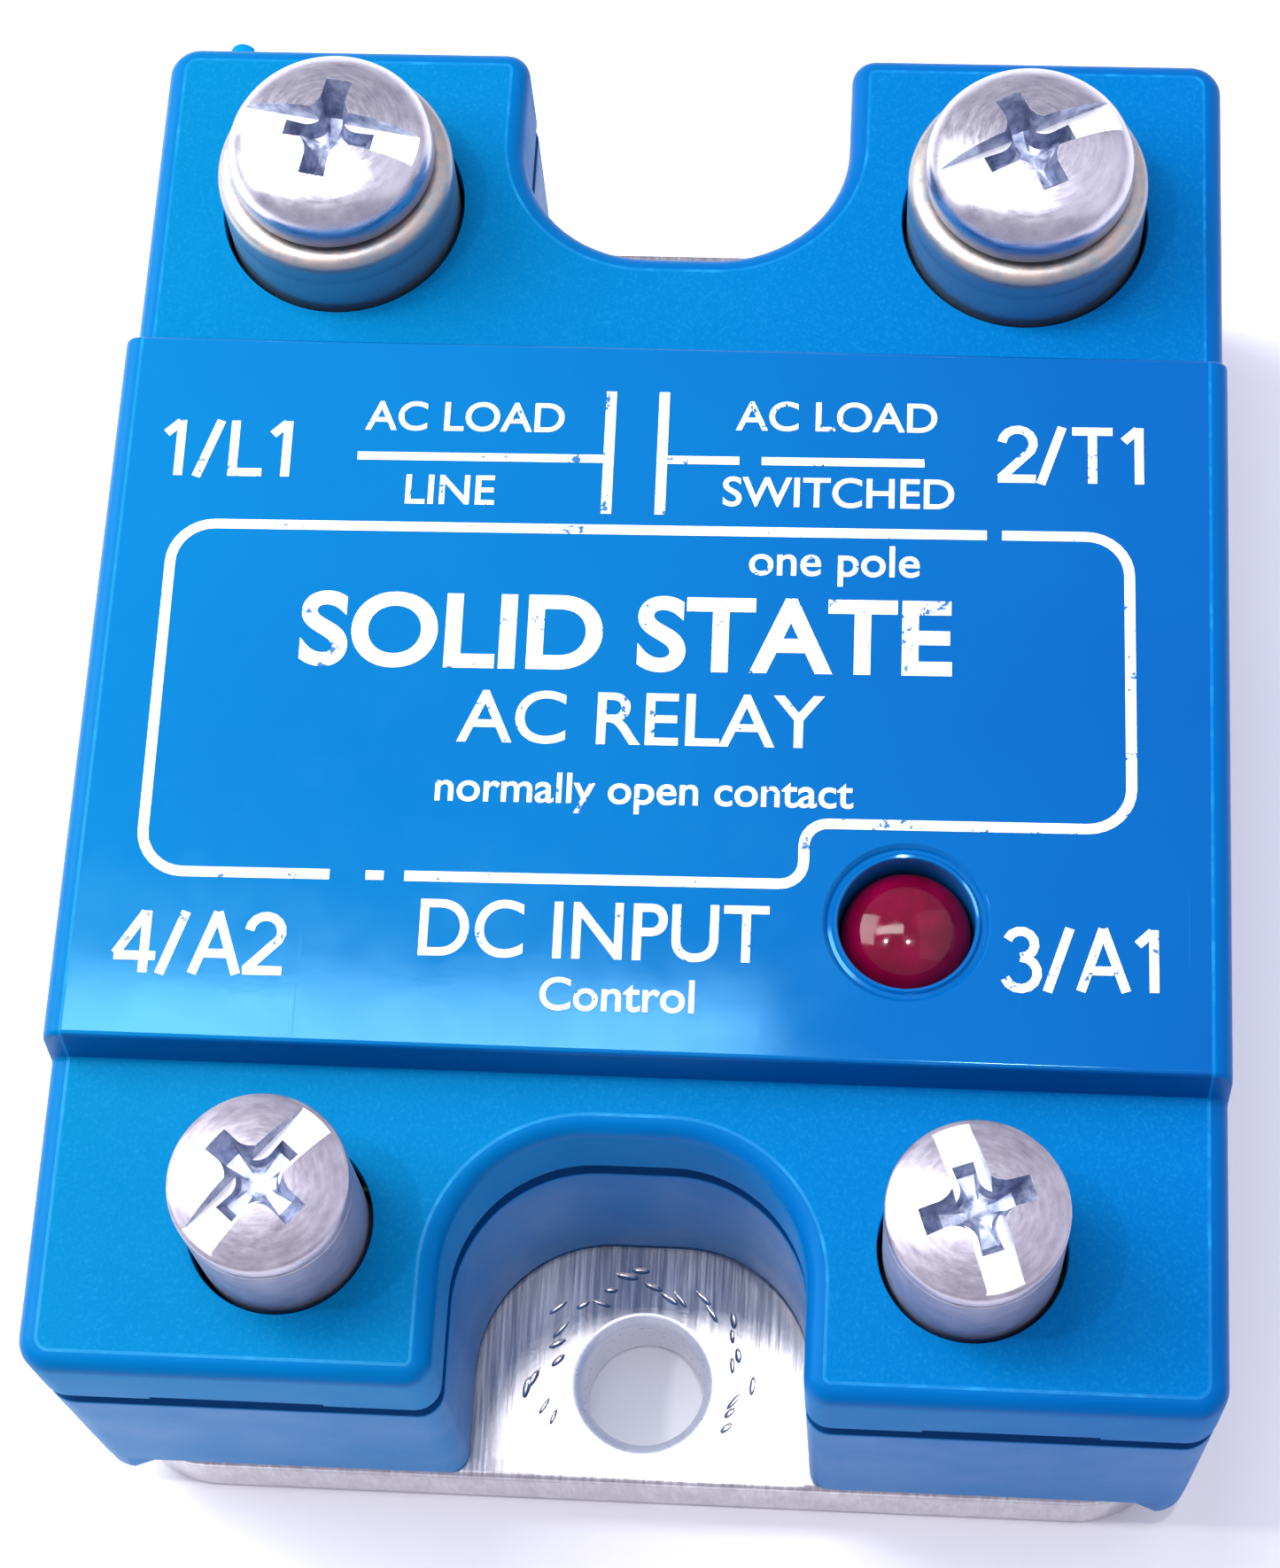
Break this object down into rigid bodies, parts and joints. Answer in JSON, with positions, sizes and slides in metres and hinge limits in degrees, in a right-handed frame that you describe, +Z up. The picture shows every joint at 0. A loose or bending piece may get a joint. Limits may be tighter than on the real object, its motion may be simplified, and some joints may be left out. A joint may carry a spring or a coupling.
{
  "type": "solid state relay",
  "caption": "Flat rectangular panel-mount relay: blue two-part housing on a metal base plate, notched at both ends, with terminal screws on posts and a red status light.",
  "frame": {"origin": "underside of the base plate, midway between the two mounting holes", "axes": "+X across the housing, +Y along its length towards the load terminals, +Z up out of the base plate"},
  "size_m": [0.045, 0.0585, 0.0274],
  "materials": {
    "base_aluminium": "milled along its length, lightly marked round the holes",
    "adhesive": "satin black adhesive bead",
    "housing_plastic": "finely textured moulded blue plastic",
    "cover_plastic": "blue moulded plastic, textured decks and a glossy raised panel",
    "red_lens": "polished translucent red epoxy",
    "tinned_wire": "tinned wire",
    "nickel_brass": "nickel-plated brass, worn to brass at the rim",
    "tinned_steel": "satin tin plate",
    "zinc_steel": "bright zinc plate with driver marks",
    "board_laminate": "green glass-epoxy laminate",
    "black_moulding": "black moulded epoxy",
    "yellow_case": "yellow film capacitor case",
    "resistor_body": "lacquered resistor body",
    "solder": "dull solder",
    "alumina": "white alumina ceramic",
    "copper": "plain copper strip",
    "silicon": "metallised silicon",
    "potting_resin": "black potting resin"
  },
  "bodies": {
    "housing": {"base_plate": "base_aluminium", "base_adhesive": "adhesive", "case_frame": "housing_plastic", "cover": "cover_plastic", "led_lens": "red_lens", "led_leads": "tinned_wire", "load_post_1": "nickel_brass", "load_post_2": "nickel_brass", "control_post_3": "tinned_steel", "control_post_4": "tinned_steel", "circuit_board": "board_laminate", "optocoupler": "black_moulding", "optocoupler_pins": "tinned_wire", "snubber_capacitor": "yellow_case", "snubber_resistor": "resistor_body", "input_resistor": "resistor_body", "input_diode": "black_moulding", "input_transistor": "black_moulding", "component_leads": "tinned_wire", "substrate_solder": "solder", "ceramic_substrate": "alumina", "copper_tracks": "copper", "thyristor_chips": "silicon", "chip_clips": "copper", "gate_leads": "tinned_wire", "load_strap_1": "copper", "load_strap_2": "copper", "potting": "potting_resin"},
    "load_screw_1": {"load_screw_1": "zinc_steel"},
    "load_screw_2": {"load_screw_2": "zinc_steel"},
    "control_screw_3": {"control_screw_3": "zinc_steel"},
    "control_screw_4": {"control_screw_4": "zinc_steel"}
  },
  "joints": [
    {"name": "load_screw_1_turn", "type": "hinge", "parent": "housing", "child": "load_screw_1", "pos_m": [-0.0143, 0.0211, 0.0243], "axis": [0, 0, 1], "range_deg": [0, 1170]},
    {"name": "load_screw_2_turn", "type": "hinge", "parent": "housing", "child": "load_screw_2", "pos_m": [0.0143, 0.0211, 0.0243], "axis": [0, 0, 1], "range_deg": [0, 1170]},
    {"name": "control_screw_3_turn", "type": "hinge", "parent": "housing", "child": "control_screw_3", "pos_m": [0.013, -0.023, 0.0254], "axis": [0, 0, 1], "range_deg": [0, 1170]},
    {"name": "control_screw_4_turn", "type": "hinge", "parent": "housing", "child": "control_screw_4", "pos_m": [-0.013, -0.023, 0.0254], "axis": [0, 0, 1], "range_deg": [0, 1170]}
  ]
}
